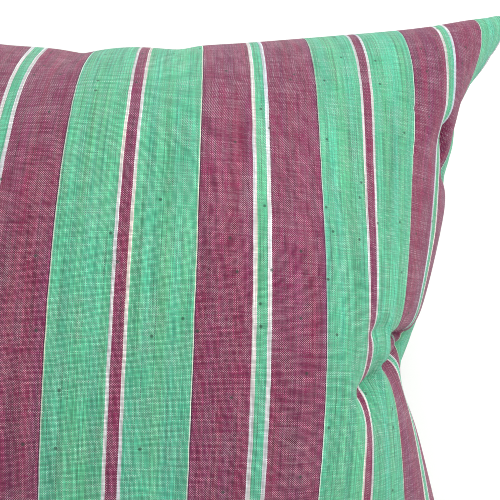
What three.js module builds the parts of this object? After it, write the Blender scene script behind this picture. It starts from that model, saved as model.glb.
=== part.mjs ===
import * as THREE from "three";

// Plump square scatter cushion with a knife-edge seam, lying on its back with the front panel up.
// Millimetres, +Z up, resting on z = 0. On the flat cloth s runs across the stripes and t along
// them, both from the middle of a panel.

const PANEL = 500; // seam to seam across each flat panel
const CROWN = 125; // height of the front's middle over the seam
const BACK = 84; // depth of the flat patch that it rests on, under the seam
const BACK_FULLNESS = 0.9; // fullness of the back beside the front, before it is pressed flat
const SHOULDER = 2.56; // how late the crown falls away towards the seam
const EDGE = 1.15; // how steeply it meets the seam
const RIDGE = 2.4; // how sharply it turns over the diagonals
const HOLLOW = 0.092; // share by which the crown sinks between its middle and the corners
const SEAM_GATHER = 0.081; // share of its length that the cloth loses along the seam
const SEAM_POWER = 1.85; // how close to the seam that loss begins
const EASE = 0.02; // share of its length that the cloth loses towards every side

const HALF = PANEL / 2;
const STEPS = 20; // pieces in which the cloth's length is followed
const STEEPEST = 0.05; // share of its length that stays level where the cloth stands upright
const SLACK = 0.4; // most cloth that a crease takes up beside it, as a share of its width
const THINNEST = 0.6; // least height over the seam, so that front and back meet only there
const PROBE = 1.5; // half of the distance over which the cloth's slope is felt

// Where the sides are drawn in, one row a place: how far it reaches along the side, where it lies
// between the middle (0) and the seam (1), how wide it is there, and the share of length it takes.
const GATHERS = [
  { side: "right", place: -26, reach: 172, where: 0.61, width: 0.21, draw: 0.128 },
  { side: "right", place: -5, reach: 46.5, where: 0.51, width: 0.056, draw: 0.114 },
  { side: "right", place: 150, reach: 37, where: 0.825, width: 0.057, draw: 0.156 },
  { side: "right", place: -12, reach: 22.5, where: 0.75, width: 0.05, draw: 0.046 },
  { side: "far", place: -93, reach: 46, where: 0.63, width: 0.23, draw: 0.096 },
  { side: "left", place: 0, reach: 150, where: 0.77, width: 0.23, draw: 0.12 },
  { side: "near", place: 0, reach: 150, where: 0.77, width: 0.23, draw: 0.1 },
];

// Creases pinched into the cloth, one a row: middle s and t, angle (0 runs outwards along +s), bend
// (how far it leaves its line at 100 mm along it), half length, width of the dip above and below
// it, radius at its bottom, and depth.
const FOLDS = [
  // Pinch of the right side: upper crease, lower crease, tail onto the front, upper end.
  { s: 188, t: 14.3, angle: -1, bend: -2, length: 35.5, above: 5.2, below: 14.4, radius: 1.5, depth: 9.7 },
  { s: 185.4, t: -1.8, angle: 6, bend: 20.5, length: 38, above: 5, below: 13, radius: 1.5, depth: 12.8 },
  { s: 129.5, t: -12, angle: 25, bend: 1, length: 13.4, above: 9.6, below: 8.5, radius: 2, depth: 9 },
  { s: 133.3, t: 16, angle: 13, bend: 0, length: 10.5, above: 3, below: 4, radius: 2, depth: 3 },
  // Pucker below the far right corner.
  { s: 205, t: 128, angle: -41, bend: 8, length: 22, above: 6, below: 24, radius: 1.5, depth: 8.5 },
  // Two dents of the far side.
  { s: -37.4, t: 212, angle: 85, bend: 11, length: 60, above: 21, below: 22.5, radius: 4, depth: 6.2 },
  { s: 17, t: 230, angle: 90.5, bend: 0, length: 37.5, above: 10.4, below: 5, radius: 4, depth: 6.4 },
  // Pinches of the left and near sides.
  { s: -200, t: -6, angle: 0, bend: 0, length: 62, above: 15, below: 15, radius: 3, depth: 12 },
  { s: 8, t: -200, angle: 90, bend: 0, length: 60, above: 15, below: 15, radius: 3, depth: 11 },
];

// Places where the stuffing or the seam moves the cloth, one a row: middle s and t, reach across
// and along, and the move in x, y and z.
const PUSHES = [
  // Dog ear of the far right corner, and the far side towards the left.
  { s: 265, t: 228, across: 32, along: 34, x: 6, y: -9, z: -2.5 },
  { s: -115, t: 222.6, across: 55.6, along: 19, x: -20.3, y: -4, z: 4 },
  // Flares of the seam over the pinch and under the pucker.
  { s: 254, t: 23, across: 43, along: 54, x: 10.7, y: -1, z: -0.5 },
  { s: 250, t: 140, across: 25, along: 26, x: 10, y: 4, z: 1.5 },
  // Swell between the creases of the pinch.
  { s: 203, t: -7.5, across: 20.5, along: 10, x: 3.5, y: 2, z: 4 },
];

// Spans of grid lines over the cloth: from, to and number of cells. They crowd where the folds are.
const ACROSS = [
  { from: -HALF, to: -70, cells: 9 },
  { from: -70, to: 50, cells: 14 },
  { from: 50, to: 110, cells: 5 },
  { from: 110, to: HALF, cells: 24 },
];
const ALONG = [
  { from: -HALF, to: -40, cells: 12 },
  { from: -40, to: 44, cells: 18 },
  { from: 44, to: 94, cells: 5 },
  { from: 94, to: 160, cells: 11 },
  { from: 160, to: HALF, cells: 10 },
];

const bell = (x) => Math.exp(-(x ** 2));

// Height left at the share x of the way to the seam, from 1 in the middle to 0.
const fall = (x) => Math.max(1 - Math.min(x, 1) ** SHOULDER, 1e-6) ** EDGE;

// Height over the seam: the lesser of two falls, rounded over the diagonals, less the hollow.
function crown(s, t) {
  const across = fall(Math.abs(s) / HALF);
  const along = fall(Math.abs(t) / HALF);
  const halfway = (Math.sin((Math.PI * s) / HALF) * Math.sin((Math.PI * t) / HALF)) ** 2;
  const rounded = (across ** -RIDGE + along ** -RIDGE - 1) ** (-1 / RIDGE);
  return CROWN * rounded * (1 - HOLLOW * halfway);
}

// Level distance from the middle line to a, on the line b: the cloth keeps its length, so each step
// of it moves sqrt(share ** 2 - slope ** 2) sideways, where share is what the gathers leave of it.
function spread(a, b, side, height) {
  const gathers = GATHERS.filter((row) => row.side === side);
  const step = Math.abs(a) / STEPS;
  const seam = SEAM_GATHER * (Math.abs(b) / HALF) ** SEAM_POWER;
  let sum = 0;
  for (let i = 0; i < STEPS; i += 1) {
    const at = (i + 0.5) * step;
    const u = at / HALF;
    const slope = height(at + 0.5, b) - height(at - 0.5, b);
    let share = 1 - seam - EASE * u * u;
    for (const { place, reach, where, width, draw } of gathers) {
      share -= draw * bell((u - where) / width) * bell((b - place) / reach);
    }
    sum += Math.sqrt(Math.max(share ** 2 - slope ** 2, STEEPEST ** 2)) * step;
  }
  return Math.sign(a) * sum;
}

// The smooth front: flat cloth point to space, with z up from the seam.
function smooth(s, t) {
  const s1 = THREE.MathUtils.clamp(s, -HALF, HALF);
  const t1 = THREE.MathUtils.clamp(t, -HALF, HALF);
  return new THREE.Vector3(
    spread(s1, t1, s1 > 0 ? "right" : "left", crown),
    spread(t1, s1, t1 > 0 ? "far" : "near", (a, b) => crown(b, a)),
    crown(s1, t1),
  );
}

function outward(s, t) {
  const s1 = THREE.MathUtils.clamp(s, -HALF + PROBE, HALF - PROBE);
  const t1 = THREE.MathUtils.clamp(t, -HALF + PROBE, HALF - PROBE);
  const across = smooth(s1 + PROBE, t1).sub(smooth(s1 - PROBE, t1));
  const along = smooth(s1, t1 + PROBE).sub(smooth(s1, t1 - PROBE));
  return across.cross(along).normalize();
}

// The front with its folds. Beside a crease the cloth dips by exp(-beside / width), rounded at the
// bottom, and both sides are pulled over it by the length that the dip uses, depth ** 2 / (4 * width)
// or SLACK * width at most.
function front(s, t) {
  let s1 = s;
  let t1 = t;
  let sunk = 0;
  for (const fold of FOLDS) {
    const turn = THREE.MathUtils.degToRad(fold.angle);
    const [c, n] = [Math.cos(turn), Math.sin(turn)];
    const along = (s - fold.s) * c + (t - fold.t) * n;
    const beside = (t - fold.t) * c - (s - fold.s) * n - fold.bend * (along / 100) ** 2;
    const width = beside > 0 ? fold.above : fold.below;
    const depth = fold.depth * Math.exp(-((along / fold.length) ** 4));
    const reach = Math.hypot(beside, fold.radius) - fold.radius;
    const used = Math.min(depth ** 2 / (4 * width), SLACK * width);
    const taken = used * (1 - Math.exp((-2 * reach) / width));
    const pull = Math.sign(beside) * taken * bell(beside / (6 * width));
    s1 += pull * n;
    t1 -= pull * c;
    sunk += depth * Math.exp(-reach / width);
  }
  const point = smooth(s1, t1).addScaledVector(outward(s1, t1), -sunk);
  for (const push of PUSHES) {
    const share = bell((s - push.s) / push.across) * bell((t - push.t) / push.along);
    point.add(new THREE.Vector3(push.x, push.y, push.z).multiplyScalar(share));
  }
  return point;
}

function gridLines(spans) {
  const lines = [spans[0].from];
  for (const { from, to, cells } of spans) {
    for (let i = 1; i <= cells; i += 1) lines.push(from + ((to - from) * i) / cells);
  }
  return lines;
}

// Front and back are the same grid of cloth. The back mirrors the front, a little less full, and
// is flat where it rests. The two share the seam's points.
function cushionGeometry() {
  const across = gridLines(ACROSS);
  const along = gridLines(ALONG);
  const positions = [];
  const upper = [];
  const lower = [];
  across.forEach((s, i) => {
    along.forEach((t, j) => {
      const onSeam = i === 0 || j === 0 || i === across.length - 1 || j === along.length - 1;
      const p = front(s, t);
      const rise = onSeam ? 0 : Math.max(p.z, THINNEST);
      upper.push(positions.length / 3);
      positions.push(p.x, p.y, BACK + rise);
      if (onSeam) {
        lower.push(upper.at(-1));
      } else {
        lower.push(positions.length / 3);
        positions.push(p.x, p.y, BACK - Math.min(rise * BACK_FULLNESS, BACK));
      }
    });
  });
  const index = [];
  const rows = along.length;
  for (let i = 0; i < across.length - 1; i += 1) {
    for (let j = 0; j < rows - 1; j += 1) {
      const [a, b, c, d] = [i * rows + j, (i + 1) * rows + j, (i + 1) * rows + j + 1, i * rows + j + 1];
      const rising = (across[i] + across[i + 1]) * (along[j] + along[j + 1]) > 0;
      const triangles = rising ? [[a, b, c], [a, c, d]] : [[a, b, d], [b, c, d]];
      for (const [p, q, r] of triangles) {
        index.push(upper[p], upper[q], upper[r], lower[p], lower[r], lower[q]);
      }
    }
  }
  const geometry = new THREE.BufferGeometry();
  geometry.setAttribute("position", new THREE.Float32BufferAttribute(positions, 3));
  geometry.setIndex(index);
  geometry.computeBoundingBox();
  const middle = geometry.boundingBox.getCenter(new THREE.Vector3());
  geometry.translate(-middle.x, -middle.y, 0);
  geometry.computeVertexNormals();
  return geometry;
}

const cotton = new THREE.MeshStandardMaterial({
  name: "striped_cotton",
  color: "#8fae96",
  roughness: 0.9,
  metalness: 0,
});

const cushion = new THREE.Mesh(cushionGeometry(), cotton);
cushion.name = "cushion";

const part = new THREE.Group();
part.name = "scatter_cushion";
part.add(cushion);

export default part;
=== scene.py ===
import math

import bpy
import numpy as np
from mathutils import Euler, Matrix


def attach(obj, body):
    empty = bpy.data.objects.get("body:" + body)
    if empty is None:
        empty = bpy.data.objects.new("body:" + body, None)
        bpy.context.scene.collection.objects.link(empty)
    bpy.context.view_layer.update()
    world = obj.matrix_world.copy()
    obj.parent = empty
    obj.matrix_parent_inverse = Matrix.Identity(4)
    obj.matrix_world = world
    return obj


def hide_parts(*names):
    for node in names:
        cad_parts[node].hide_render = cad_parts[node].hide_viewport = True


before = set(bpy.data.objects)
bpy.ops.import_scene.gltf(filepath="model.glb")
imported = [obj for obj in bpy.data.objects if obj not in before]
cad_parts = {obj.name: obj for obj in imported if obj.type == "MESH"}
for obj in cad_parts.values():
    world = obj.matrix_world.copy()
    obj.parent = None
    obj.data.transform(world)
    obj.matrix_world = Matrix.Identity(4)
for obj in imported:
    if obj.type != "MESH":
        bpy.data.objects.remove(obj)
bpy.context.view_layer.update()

# The cushion: two square panels of one handloom striped cotton, sewn edge to edge in a knife-edge
# seam, turned right side out and stuffed full. On the flat cloth s runs across the stripes and t
# along them, both from the middle of a panel. Sizes are in millimetres until the mesh is made.
PANEL = 500.0  # seam to seam across each flat panel
HALF = PANEL / 2
CROWN = 125.0  # height of the front's middle over the seam
BACK = 84.0  # depth of the flat patch that it rests on, under the seam
BACK_FULLNESS = 0.9  # fullness of the back beside the front, before it is pressed flat
SHOULDER = 2.56  # how late the crown falls away towards the seam
EDGE = 1.15  # how steeply it meets the seam
RIDGE = 2.4  # how sharply it turns over the diagonals
HOLLOW = 0.092  # share by which the crown sinks between its middle and the corners
SEAM_GATHER = 0.081  # share of its length that the cloth loses along the seam
SEAM_POWER = 1.85  # how close to the seam that loss begins
EASE = 0.02  # share of its length that the cloth loses towards every side
STEPS = 20  # pieces in which the cloth's length is followed
STEEPEST = 0.05  # share of its length that stays level where the cloth stands upright
SLOPE_STEP = 0.5  # half of the distance over which the height's slope is taken
SLACK = 0.4  # most cloth that a crease takes up beside it, as a share of its width
PULL_REACH = 6  # how far a crease pulls the cloth beside it, in widths of its dip

# Where the sides are drawn in: the side, the place along it, how far the draw reaches along it,
# where it lies between middle (0) and seam (1), how wide it is there, and the share of the length.
GATHERS = [
    ("right", -26, 172, 0.61, 0.21, 0.128),
    ("right", -5, 46.5, 0.51, 0.056, 0.114),
    ("right", 150, 37, 0.825, 0.057, 0.156),
    ("right", -12, 22.5, 0.75, 0.05, 0.046),
    ("far", -93, 46, 0.63, 0.23, 0.096),
    ("left", 0, 150, 0.77, 0.23, 0.12),
    ("near", 0, 150, 0.77, 0.23, 0.10),
]

# Creases pinched into the cloth: middle s and t, angle of the crease, bend (millimetres it leaves
# its line at 100 mm along it), half length, width of the dip above and below it, radius at its
# bottom, and depth.
FOLDS = [
    (188, 14.3, -1, -2, 35.5, 5.2, 14.4, 1.5, 9.7),  # pinch of the right side, upper crease
    (185.4, -1.8, 6, 20.5, 38, 5, 13, 1.5, 12.8),  # pinch of the right side, lower crease
    (129.5, -12, 25, 1, 13.4, 9.6, 8.5, 2, 9),  # its tail, onto the front
    (133.3, 16, 13, 0, 10.5, 3, 4, 2, 3),  # upper end of the pinch
    (205, 128, -41, 8, 22, 6, 24, 1.5, 8.5),  # pucker below the corner
    (-37.4, 212, 85, 11, 60, 21, 22.5, 4, 6.2),  # dents of the far side
    (17, 230, 90.5, 0, 37.5, 10.4, 5, 4, 6.4),
    (-200, -6, 0, 0, 62, 15, 15, 3, 12),  # pinch of the left side
    (8, -200, 90, 0, 60, 15, 15, 3, 11),  # pinch of the near side
]

# Fine creases in the same columns, too fine for the solid: four narrow crease bottoms that lie along
# rows of the table above, and three wrinkles beside the pucker.
WRINKLES = [
    (188, 14.3, -1, -2, 30, 2.4, 2.4, 0.5, 4.5),  # bottom of the pinch's upper crease
    (185.4, -1.8, 6, 20.5, 34, 2.4, 2.4, 0.5, 4.5),  # bottom of its lower crease
    (129.5, -12, 25, 1, 12, 2.4, 2.4, 0.5, 1.2),  # bottom of its tail
    (205, 128, -41, 8, 18, 2.4, 2.4, 0.5, 3),  # bottom of the pucker
    (165, 141.3, -3.6, 0, 17, 2, 2, 0.6, 0.9),
    (150, 118, -4, 0, 10, 1.8, 1.8, 0.6, 0.5),
    (151, 113, -4, 0, 10, 1.8, 1.8, 0.6, 0.5),
]

# Places where the stuffing or the seam moves the cloth: s and t, reach across and along, and the
# move in x, y and z.
PUSHES = [
    (265, 228, 32, 34, 6, -9, -2.5),  # dog ear of the far right corner
    (-115, 222.6, 55.6, 19, -20.3, -4, 4),  # far side, towards the left
    (254, 23, 43, 54, 10.7, -1, -0.5),  # flare of the seam over the pinch
    (250, 140, 25, 26, 10, 4, 1.5),  # flare of the seam under the pucker
    (203, -7.5, 20.5, 10, 3.5, 2, 4),  # swell between the creases of the pinch
]

# Lines of the mesh over each panel: from, to and number of cells, closest at the pinch.
ACROSS = [(-HALF, -100, 30), (-100, 96, 56), (96, HALF, 124)]
ALONG = [(-HALF, -60, 50), (-60, 60, 90), (60, HALF, 90)]


def fall(x):
    """Height left at the share x of the way to the seam: (1 - x ** SHOULDER) ** EDGE, from 1 to
    just over 0, so that it can be divided by."""
    return np.maximum(1 - np.minimum(x, 1) ** SHOULDER, 1e-6) ** EDGE


def crown(s, t):
    """Height over the seam: the lesser of two falls, rounded over the diagonals, less the hollow."""
    across, along = fall(np.abs(s) / HALF), fall(np.abs(t) / HALF)
    halfway = (np.sin(np.pi * s / HALF) * np.sin(np.pi * t / HALF)) ** 2
    rounded = (across ** -RIDGE + along ** -RIDGE - 1) ** (-1 / RIDGE)
    return CROWN * rounded * (1 - HOLLOW * halfway)


def spread(a, b, sides, height):
    """How far a point at a lies from the middle: the cloth's length is kept, so each step of it
    moves sqrt(share ** 2 - slope ** 2) sideways, where share is what the gathers leave of it."""
    step = np.abs(a) / STEPS
    total = np.zeros_like(a)
    seam = SEAM_GATHER * (np.abs(b) / HALF) ** SEAM_POWER
    rows = [row for row in GATHERS if row[0] in sides]
    for i in range(STEPS):
        at = (i + 0.5) * step
        u = at / HALF
        slope = (height(at + SLOPE_STEP, b) - height(at - SLOPE_STEP, b)) / (2 * SLOPE_STEP)
        share = 1 - seam - EASE * u * u
        for side, place, reach, where, width, draw in rows:
            there = (a > 0) == (side == sides[0])
            bell = np.exp(-(((u - where) / width) ** 2) - ((b - place) / reach) ** 2)
            share = share - there * draw * bell
        total += np.sqrt(np.maximum(share ** 2 - slope ** 2, STEEPEST ** 2)) * step
    return np.sign(a) * total


def smooth(s, t):
    """The stuffed front before its folds, as an array of x, y and z over the seam."""
    s, t = np.clip(s, -HALF, HALF), np.clip(t, -HALF, HALF)
    x = spread(s, t, ("right", "left"), crown)
    y = spread(t, s, ("far", "near"), lambda a, b: crown(b, a))
    return np.stack([x, y, crown(s, t)], axis=-1)


def front(s, t):
    """The front with its folds. Beside a crease the cloth dips by depth * exp(-beside / width),
    rounded at the bottom, and the depth fades along it by exp(-(along / length) ** 4). Both sides
    are pulled over the crease by the length that the dip uses, depth ** 2 / (4 * width) or
    SLACK * width at most, and less beyond PULL_REACH widths. The pushes are bell-shaped moves."""
    moved_s, moved_t, sunk = s.copy(), t.copy(), np.zeros_like(s)
    for fold_s, fold_t, angle, bend, length, above, below, radius, depth in FOLDS + WRINKLES:
        c, n = math.cos(math.radians(angle)), math.sin(math.radians(angle))
        along = (s - fold_s) * c + (t - fold_t) * n
        beside = (t - fold_t) * c - (s - fold_s) * n - bend * (along / 100) ** 2
        width = np.where(beside > 0, above, below)
        fade = np.exp(-((along / length) ** 4))
        reach = np.sqrt(beside ** 2 + radius ** 2) - radius
        used = np.minimum((depth * fade) ** 2 / (4 * width), SLACK * width)
        used *= 1 - np.exp(-2 * reach / width)
        pull = np.sign(beside) * used * np.exp(-((beside / (PULL_REACH * width)) ** 2))
        moved_s += pull * n
        moved_t -= pull * c
        sunk += depth * fade * np.exp(-reach / width)
    point = smooth(moved_s, moved_t)
    normal = np.cross(np.gradient(point, axis=0), np.gradient(point, axis=1))
    normal /= np.linalg.norm(normal, axis=-1, keepdims=True)
    point -= normal * sunk[..., None]
    for push_s, push_t, across, along, x, y, z in PUSHES:
        bell = np.exp(-(((s - push_s) / across) ** 2) - ((t - push_t) / along) ** 2)
        point += bell[..., None] * np.array([x, y, z])
    return point


def mesh_lines(spans):
    """Places of the mesh's lines, evenly spaced within each span."""
    parts = [np.linspace(start, end, cells, endpoint=False) for start, end, cells in spans]
    return np.append(np.concatenate(parts), spans[-1][1])


lines_s, lines_t = mesh_lines(ACROSS), mesh_lines(ALONG)
s, t = np.meshgrid(lines_s, lines_t, indexing="ij")
upper = front(s, t)
seam = (np.abs(s) == HALF) | (np.abs(t) == HALF)
THINNEST = 0.6  # least height over the seam, so that front and back meet only there
rise = np.where(seam, 0, np.maximum(upper[..., 2], THINNEST))
upper[..., 2] = BACK + rise
# The stitches hold the seam a little inside the turned edges of both panels.
SEAM_GROOVE = 1.3  # millimetres inside them
upper[..., 0] -= np.where(np.abs(s) == HALF, SEAM_GROOVE * np.sign(s), 0)
upper[..., 1] -= np.where(np.abs(t) == HALF, SEAM_GROOVE * np.sign(t), 0)
lower = upper.copy()
lower[..., 2] = BACK - np.minimum(rise * BACK_FULLNESS, BACK)
middle = (upper.reshape(-1, 3)[:, :2].min(axis=0) + upper.reshape(-1, 3)[:, :2].max(axis=0)) / 2

# One point for each place on the front, then one for each on the back that is not on the seam.
front_index = np.arange(s.size).reshape(s.shape)
back_index = front_index.copy()
back_index[~seam] = s.size + np.arange((~seam).sum())
points = np.concatenate([upper.reshape(-1, 3), lower[~seam]])
points[:, :2] -= middle


def cells(index, turned):
    """The four corners of each cell as two triangles, cut along the diagonal that runs towards
    the panel's middle; turned faces the other way."""
    a, b, c, d = index[:-1, :-1], index[1:, :-1], index[1:, 1:], index[:-1, 1:]
    mid_s, mid_t = (s[:-1, :-1] + s[1:, 1:]) / 2, (t[:-1, :-1] + t[1:, 1:]) / 2
    same = (mid_s * mid_t > 0)[..., None]
    first = np.where(same, np.stack([a, b, c], -1), np.stack([a, b, d], -1))
    second = np.where(same, np.stack([a, c, d], -1), np.stack([b, c, d], -1))
    faces = np.concatenate([first.reshape(-1, 3), second.reshape(-1, 3)])
    return faces[:, ::-1] if turned else faces


faces_front, faces_back = cells(front_index, False), cells(back_index, True)
faces = np.concatenate([faces_front, faces_back])
mesh = bpy.data.meshes.new("striped_cushion")
mesh.from_pydata((points / 1000).tolist(), [], faces.tolist())

# Map of the flat cloth in metres, for the weave and stripes, the back's panel beyond the front's.
# The panels were cut a little out of line with their stripes, most at the middle of the sides.
BACK_PANEL = 0.6  # metres from the front panel's middle to the back's on that map
OUT_OF_LINE = 4.0  # millimetres of stripe that the seam takes in there
AT_THE_SEAM = 7  # power that keeps this shift close to the seam
flat_s = np.concatenate([s.ravel(), s[~seam]]) / 1000
flat_t = np.concatenate([t.ravel(), t[~seam]]) / 1000
taken_in = OUT_OF_LINE / 1000 * (1 - (flat_t * 1000 / HALF) ** 2)
striped_s = flat_s - taken_in * (flat_s * 1000 / HALF) ** AT_THE_SEAM
corners = faces.ravel()
on_back = np.repeat(np.arange(len(faces)) >= len(faces_front), 3)
cloth = np.stack([striped_s[corners], flat_t[corners] + np.where(on_back, BACK_PANEL, 0)], axis=-1)
flat = mesh.uv_layers.new(name="flat_cloth")
flat.data.foreach_set("uv", cloth.ravel())
# Map of both panels one over the other on a square, the front on the larger share of its height.
FRONT_SHARE, GUTTER = 0.6, 0.004  # the front's share, and what is left free under it
u = flat_s[corners] * 1000 / PANEL + 0.5
v = flat_t[corners] * 1000 / PANEL + 0.5
v = np.where(on_back, v * (1 - FRONT_SHARE - GUTTER), 1 - FRONT_SHARE + v * FRONT_SHARE)
both = mesh.uv_layers.new(name="OFBake")
both.data.foreach_set("uv", np.stack([u, v], axis=-1).ravel())
mesh.uv_layers.active = flat
flat.active_render = True
mesh.polygons.foreach_set("use_smooth", np.ones(len(faces), bool))
mesh.update()
mesh.validate()
cushion = bpy.data.objects.new("striped_cushion", mesh)
bpy.context.collection.objects.link(cushion)


def linear(hex_code):
    """An sRGB hex colour as linear red, green, blue and alpha."""
    parts = [int(hex_code[i:i + 2], 16) / 255 for i in (1, 3, 5)]
    return tuple(p / 12.92 if p <= 0.04045 else ((p + 0.055) / 1.055) ** 2.4 for p in parts) + (1.0,)


def node(tree, kind, settings=None, **inputs):
    """Adds a node, sets its settings, and sets or links its inputs by name or by number (in0)."""
    made = tree.nodes.new(kind)
    for name, value in (settings or {}).items():
        setattr(made, name, value)
    for name, value in inputs.items():
        key = int(name[2:]) if name[:2] == "in" and name[2:].isdigit() else name.replace("_", " ")
        socket = made.inputs[key]
        if isinstance(value, bpy.types.NodeSocket):
            tree.links.new(value, socket)
        else:
            socket.default_value = value
    return made


# Handloom cotton in plain weave: yarn-dyed warp stripes over one off-white weft, so every colour
# looks heathered. The yarn is uneven: streaks along the warp, bars along the weft, slubs and neps.
MAROON, GREEN, WHITE, WEFT = "#832050", "#58be94", "#dcdedd", "#e2d5dc"
PLUM, PALE, NEP = "#4a1a3c", "#cfdccb", "#1f3b30"
REPEAT = 125.0  # one repeat of the stripes in millimetres, nearly symmetric, as the loom left it
STRIPES = [  # start in millimetres from the narrow maroon stripe's middle, colour, and warp cover
    (0.0, MAROON, 0.71), (2.7, WHITE, 0.7), (4.1, GREEN, 0.8), (31.9, PALE, 0.9), (32.4, PLUM, 0.9),
    (32.9, MAROON, 0.71), (57.9, WHITE, 0.7), (60.0, GREEN, 0.8), (65.0, WHITE, 0.7),
    (67.1, MAROON, 0.71), (94.2, PLUM, 0.9), (94.7, PALE, 0.9), (95.2, GREEN, 0.8),
    (120.9, WHITE, 0.7), (122.3, MAROON, 0.71),
]
PITCH = 0.5  # thread spacing in millimetres

cotton = bpy.data.materials.new("handwoven_striped_cotton")
cotton.use_nodes = True
tree = cotton.node_tree
tree.nodes.clear()

# The flat cloth in millimetres, with threads that wander a little from their straight lines, so
# that the weave doesn't look ruled.
flat_place = node(tree, "ShaderNodeUVMap", {"uv_map": "flat_cloth"})
in_mm = node(tree, "ShaderNodeVectorMath", {"operation": "SCALE"}, in0=flat_place.outputs[0], Scale=1000.0)
WANDER, WANDER_SIZE = 0.35, 14.0  # how far a thread strays, and over what length
swaying = node(tree, "ShaderNodeTexNoise", Vector=in_mm.outputs[0], Scale=1 / WANDER_SIZE, Detail=2.0)
swayed = node(tree, "ShaderNodeVectorMath", {"operation": "MULTIPLY_ADD"}, in0=swaying.outputs["Color"],
              in1=(2 * WANDER, 2 * WANDER, 0), in2=in_mm.outputs[0])
# Which warp and weft cross there, as one place for the whole crossing.
crossing_place = node(tree, "ShaderNodeVectorMath", {"operation": "SNAP"}, in0=swayed.outputs[0],
                      in1=(PITCH, PITCH, 1))

# How the yarn varies: size across and along the stripes in millimetres, detail, seed, and the
# range. It gives the eye streaks along the warp, bars along the weft and soft patches.
YARN = {
    "warp_tone": (0.6, 70, 3, 11, 0.5, 1.5),
    "warp_hue": (7, 150, 4, 31, -0.1, 1.1),
    "warp_batch": (5, 140, 3, 91, 0.86, 1.14),
    "weft_tone": (26, 0.8, 3, 23, 0.62, 1.3),
    "weft_line": (11, 0.6, 2, 83, 0.74, 1.18),
    "warp_width": (0.7, 30, 2, 47, -0.22, 0.22),
    "weft_width": (30, 0.7, 2, 59, -0.22, 0.22),
    "patch": (10, 14, 3, 71, -0.22, 0.22),
}
NOISE_LOW, NOISE_HIGH = 0.28, 0.72  # where nearly all values of the noise lie
yarn = {}
for name, (wide, long, detail, seed, low_end, high_end) in YARN.items():
    stretched = node(tree, "ShaderNodeMapping", Vector=crossing_place.outputs[0], Location=(seed, seed, 0),
                     Scale=(1 / wide, 1 / long, 1))
    noise = node(tree, "ShaderNodeTexNoise", Vector=stretched.outputs[0], Scale=1.0, Detail=detail,
                 Roughness=0.6)
    ranged = node(tree, "ShaderNodeMapRange", Value=noise.outputs["Fac"], From_Min=NOISE_LOW,
                  From_Max=NOISE_HIGH, To_Min=low_end, To_Max=high_end)
    yarn[name] = ranged.outputs[0]

# Colour of the warp by stripe, a thread at a time, and in the alpha how far it covers the weft.
warp_place = node(tree, "ShaderNodeSeparateXYZ", in0=crossing_place.outputs[0])
repeats = node(tree, "ShaderNodeMath", {"operation": "DIVIDE"}, in0=warp_place.outputs[0], in1=REPEAT)
share = node(tree, "ShaderNodeMath", {"operation": "FRACT"}, in0=repeats.outputs[0])
stripes = node(tree, "ShaderNodeValToRGB", Fac=share.outputs[0])
stripes.color_ramp.interpolation = "CONSTANT"
while len(stripes.color_ramp.elements) < len(STRIPES):
    stripes.color_ramp.elements.new(1.0)
for element, (start, colour, cover) in zip(stripes.color_ramp.elements, STRIPES):
    element.position = start / REPEAT
    element.color = linear(colour)[:3] + (cover,)
# Warp over weft where the product of two waves is high, weft over warp where it is low.
turn = node(tree, "ShaderNodeVectorMath", {"operation": "SCALE"}, in0=swayed.outputs[0],
            Scale=math.pi / PITCH)
waves = node(tree, "ShaderNodeVectorMath", {"operation": "SINE"}, in0=turn.outputs[0])
wave = node(tree, "ShaderNodeSeparateXYZ", in0=waves.outputs[0])
weave = node(tree, "ShaderNodeMath", {"operation": "MULTIPLY"}, in0=wave.outputs[0], in1=wave.outputs[1])
chance = node(tree, "ShaderNodeTexWhiteNoise", {"noise_dimensions": "2D"},
              Vector=crossing_place.outputs[0])
BY_CHANCE = 0.08  # most that one crossing's cover is off by chance
odd = node(tree, "ShaderNodeMapRange", Value=chance.outputs["Value"], To_Min=-BY_CHANCE, To_Max=BY_CHANCE)
# Towards the left and right sides the cloth is drawn in, so its warp crowds and less weft shows.
LOOSE_TO, CROWDED_FROM = 70.0, 230.0  # millimetres from the cloth's middle
LOOSE, CROWDED = -0.04, 0.06  # added to the warp's cover inside the first and beyond the second
across = node(tree, "ShaderNodeSeparateXYZ", in0=in_mm.outputs[0])
off_middle = node(tree, "ShaderNodeMath", {"operation": "ABSOLUTE"}, in0=across.outputs[0])
crowding = node(tree, "ShaderNodeMapRange", {"interpolation_type": "SMOOTHSTEP"},
                Value=off_middle.outputs[0], From_Min=LOOSE_TO, From_Max=CROWDED_FROM, To_Min=LOOSE,
                To_Max=CROWDED)
uneven = node(tree, "ShaderNodeMath", {"operation": "ADD"}, in0=odd.outputs[0], in1=crowding.outputs[0])
for name in ("warp_width", "weft_width", "patch"):
    uneven = node(tree, "ShaderNodeMath", {"operation": "ADD"}, in0=uneven.outputs[0], in1=yarn[name])
covered = node(tree, "ShaderNodeMath", {"operation": "ADD"}, in0=uneven.outputs[0],
               in1=stripes.outputs["Alpha"])
height = node(tree, "ShaderNodeMath", {"operation": "ADD"}, in0=weave.outputs[0], in1=covered.outputs[0])
SOFT_EDGE = 0.12  # softens the step from warp to weft
on_top = node(tree, "ShaderNodeMapRange", Value=height.outputs[0], From_Min=-SOFT_EDGE, From_Max=SOFT_EDGE)

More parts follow.
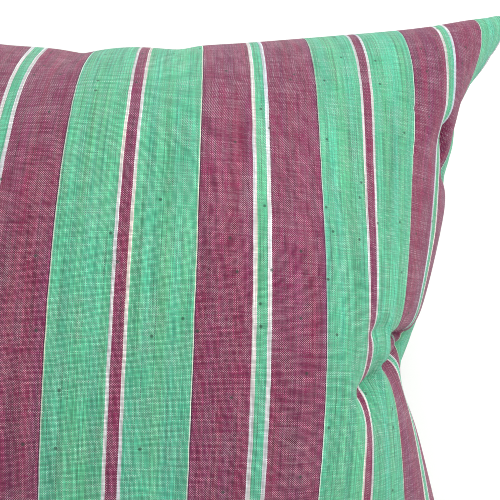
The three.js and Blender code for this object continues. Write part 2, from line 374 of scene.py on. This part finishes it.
# Colour of the cloth: the dye drifts from redder to bluer and from light to dark over groups of
# warp threads, and the weft lets some of it through, which gives each band its heathered look.
REDDER, BLUER = (1.13, 0.98, 0.85, 1), (0.89, 1.02, 1.15, 1)
hue = node(tree, "ShaderNodeMix", {"data_type": "RGBA"}, in0=yarn["warp_hue"], in6=REDDER, in7=BLUER)
hued = node(tree, "ShaderNodeVectorMath", {"operation": "MULTIPLY"}, in0=stripes.outputs[0],
            in1=hue.outputs[2])
dyed = node(tree, "ShaderNodeVectorMath", {"operation": "SCALE"}, in0=hued.outputs[0],
            Scale=yarn["warp_batch"])
warp = node(tree, "ShaderNodeVectorMath", {"operation": "SCALE"}, in0=dyed.outputs[0],
            Scale=yarn["warp_tone"])
BLEED = 0.3  # share of the warp's colour that shows through the weft
tinted = node(tree, "ShaderNodeMix", {"data_type": "RGBA"}, in0=BLEED, in6=linear(WEFT),
              in7=dyed.outputs[0])
weft = node(tree, "ShaderNodeVectorMath", {"operation": "SCALE"}, in0=tinted.outputs[2],
            Scale=yarn["weft_tone"])
woven = node(tree, "ShaderNodeMix", {"data_type": "RGBA"}, in0=on_top.outputs[0], in6=weft.outputs[0],
             in7=warp.outputs[0])

# Painted shade between the threads: the colour is darkened where they turn under each other, for the
# shadow that falls there.
GAP_HEIGHT, GAP_LIGHT = 0.4, 0.2  # height of the weave below which it darkens, and the light left
relief = node(tree, "ShaderNodeMath", {"operation": "ABSOLUTE"}, in0=weave.outputs[0])
painted_gap_shade = node(tree, "ShaderNodeMapRange", Value=relief.outputs[0], From_Max=GAP_HEIGHT, To_Min=GAP_LIGHT,
           To_Max=1.0)
# The painted shade between the threads, times the weft's bars, which are the yarn's own.
gap_shade_with_weft_bars = node(tree, "ShaderNodeMath", {"operation": "MULTIPLY"}, in0=painted_gap_shade.outputs[0], in1=yarn["weft_line"])
# The cloth's colour with the painted shade between the threads and the weft's bars.
shaded = node(tree, "ShaderNodeVectorMath", {"operation": "SCALE"}, in0=woven.outputs[2],
              Scale=gap_shade_with_weft_bars.outputs[0])

# Neps: a few small dark knots of fibre, one in some of the cells of a loose grid.
NEP_SPACING, NEP_SIZE = 17.0, 0.5  # millimetres from nep to nep, and out to where one fades
NEP_STRENGTH, NEP_FREE = 0.75, 0.6  # how dark a nep is, and the share of cells that have none
cells_of_neps = node(tree, "ShaderNodeTexVoronoi", {"voronoi_dimensions": "2D"}, Vector=in_mm.outputs[0],
                     Scale=1 / NEP_SPACING)
nep = node(tree, "ShaderNodeMapRange", Value=cells_of_neps.outputs["Distance"],
           From_Min=NEP_SIZE / NEP_SPACING, From_Max=2 * NEP_SIZE / NEP_SPACING,
           To_Min=NEP_STRENGTH, To_Max=0.0)
picked = node(tree, "ShaderNodeSeparateColor", Color=cells_of_neps.outputs["Color"])
some = node(tree, "ShaderNodeMath", {"operation": "GREATER_THAN"}, in0=picked.outputs[0],
            in1=NEP_FREE)
nep_share = node(tree, "ShaderNodeMath", {"operation": "MULTIPLY"}, in0=nep.outputs[0],
                 in1=some.outputs[0])
cloth_colour = node(tree, "ShaderNodeMix", {"data_type": "RGBA"}, in0=nep_share.outputs[0],
                    in6=shaded.outputs[0], in7=linear(NEP))

# A dry, matt cloth: a slight relief of the threads and a faint sheen of loose fibre.
THREAD_RELIEF = 0.0002  # metres
bump = node(tree, "ShaderNodeBump", Strength=0.5, Distance=THREAD_RELIEF, Height=relief.outputs[0])
surface = node(tree, "ShaderNodeBsdfPrincipled", Base_Color=cloth_colour.outputs[2], Roughness=0.9,
               Normal=bump.outputs[0])
surface.inputs["Sheen Weight"].default_value = 0.15
surface.inputs["Sheen Roughness"].default_value = 0.5
surface.inputs["Specular IOR Level"].default_value = 0.25
node(tree, "ShaderNodeOutputMaterial", Surface=surface.outputs[0])
mesh.materials.append(cotton)

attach(cushion, "root")
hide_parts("cushion")

# The floor: a wide plain pale sheet, far larger than the cushion. It is the photo's white
# background, so it is staged and is no piece of the part.
FLOOR_HALF = 6.0  # metres
floor_mesh = bpy.data.meshes.new("floor")
floor_mesh.from_pydata([(-FLOOR_HALF, -FLOOR_HALF, 0), (FLOOR_HALF, -FLOOR_HALF, 0),
                        (FLOOR_HALF, FLOOR_HALF, 0), (-FLOOR_HALF, FLOOR_HALF, 0)], [], [(0, 1, 2, 3)])
floor = bpy.data.objects.new("floor", floor_mesh)
bpy.context.collection.objects.link(floor)
paper = bpy.data.materials.new("matt_white_paper")
paper.use_nodes = True
paper.node_tree.nodes["Principled BSDF"].inputs["Base Color"].default_value = linear("#f9f9f8")
paper.node_tree.nodes["Principled BSDF"].inputs["Roughness"].default_value = 0.95
paper.node_tree.nodes["Principled BSDF"].inputs["Specular IOR Level"].default_value = 0.1
floor_mesh.materials.append(paper)

# Light: a white room and one large soft panel beyond the cushion's far right corner. Sizes,
# places and directions are in metres and degrees.
world = bpy.data.worlds.new("white_room")
bpy.context.scene.world = world
world.use_nodes = True
world.node_tree.nodes["Background"].inputs["Color"].default_value = (1, 1, 1, 1)
world.node_tree.nodes["Background"].inputs["Strength"].default_value = 0.86
panel = bpy.data.lights.new("soft_panel", "AREA")
panel.shape = "RECTANGLE"
panel.size, panel.size_y = 1.6, 1.2
panel.energy = 19.5
lamp = bpy.data.objects.new("soft_panel", panel)
lamp.location = (0.75, 0.95, 1.1)
lamp.rotation_euler = Euler((math.radians(-35), math.radians(30), 0))
bpy.context.collection.objects.link(lamp)

# Camera: it looks nearly straight down from close over the cushion's middle, turned a little
# towards the far right corner. Its angles are in radians, and its place is in millimetres from
# the middle of the flat cloth and over the seam.
SENSOR, FOCAL_PIXELS, IMAGE = 36.0, 664.87, 500
EYE_ACROSS, EYE_ALONG, EYE_OVER_SEAM = 36.2, 22.5, 413.7
camera_data = bpy.data.cameras.new("camera")
camera_data.sensor_width = SENSOR
camera_data.lens = FOCAL_PIXELS / IMAGE * SENSOR
camera_data.clip_start = 0.01
camera = bpy.data.objects.new("camera", camera_data)
bpy.context.collection.objects.link(camera)
PITCH_ANGLE, YAW_ANGLE, ROLL_ANGLE = -0.0921, 0.067, -0.0313
to_camera = (Matrix.Rotation(ROLL_ANGLE, 3, "Z") @ Matrix.Rotation(PITCH_ANGLE, 3, "X")
             @ Matrix.Rotation(YAW_ANGLE, 3, "Y"))
camera.rotation_euler = to_camera.transposed().to_euler()
camera.location = ((EYE_ACROSS - middle[0]) / 1000, (EYE_ALONG - middle[1]) / 1000,
                   (BACK + EYE_OVER_SEAM) / 1000)
bpy.context.scene.camera = camera
bpy.context.scene.view_settings.view_transform = "Standard"
# Without these two settings the denoiser and the pixel filter smooth the weave away.
bpy.context.scene.cycles.denoising_prefilter = "NONE"
bpy.context.scene.cycles.filter_width = 1.0
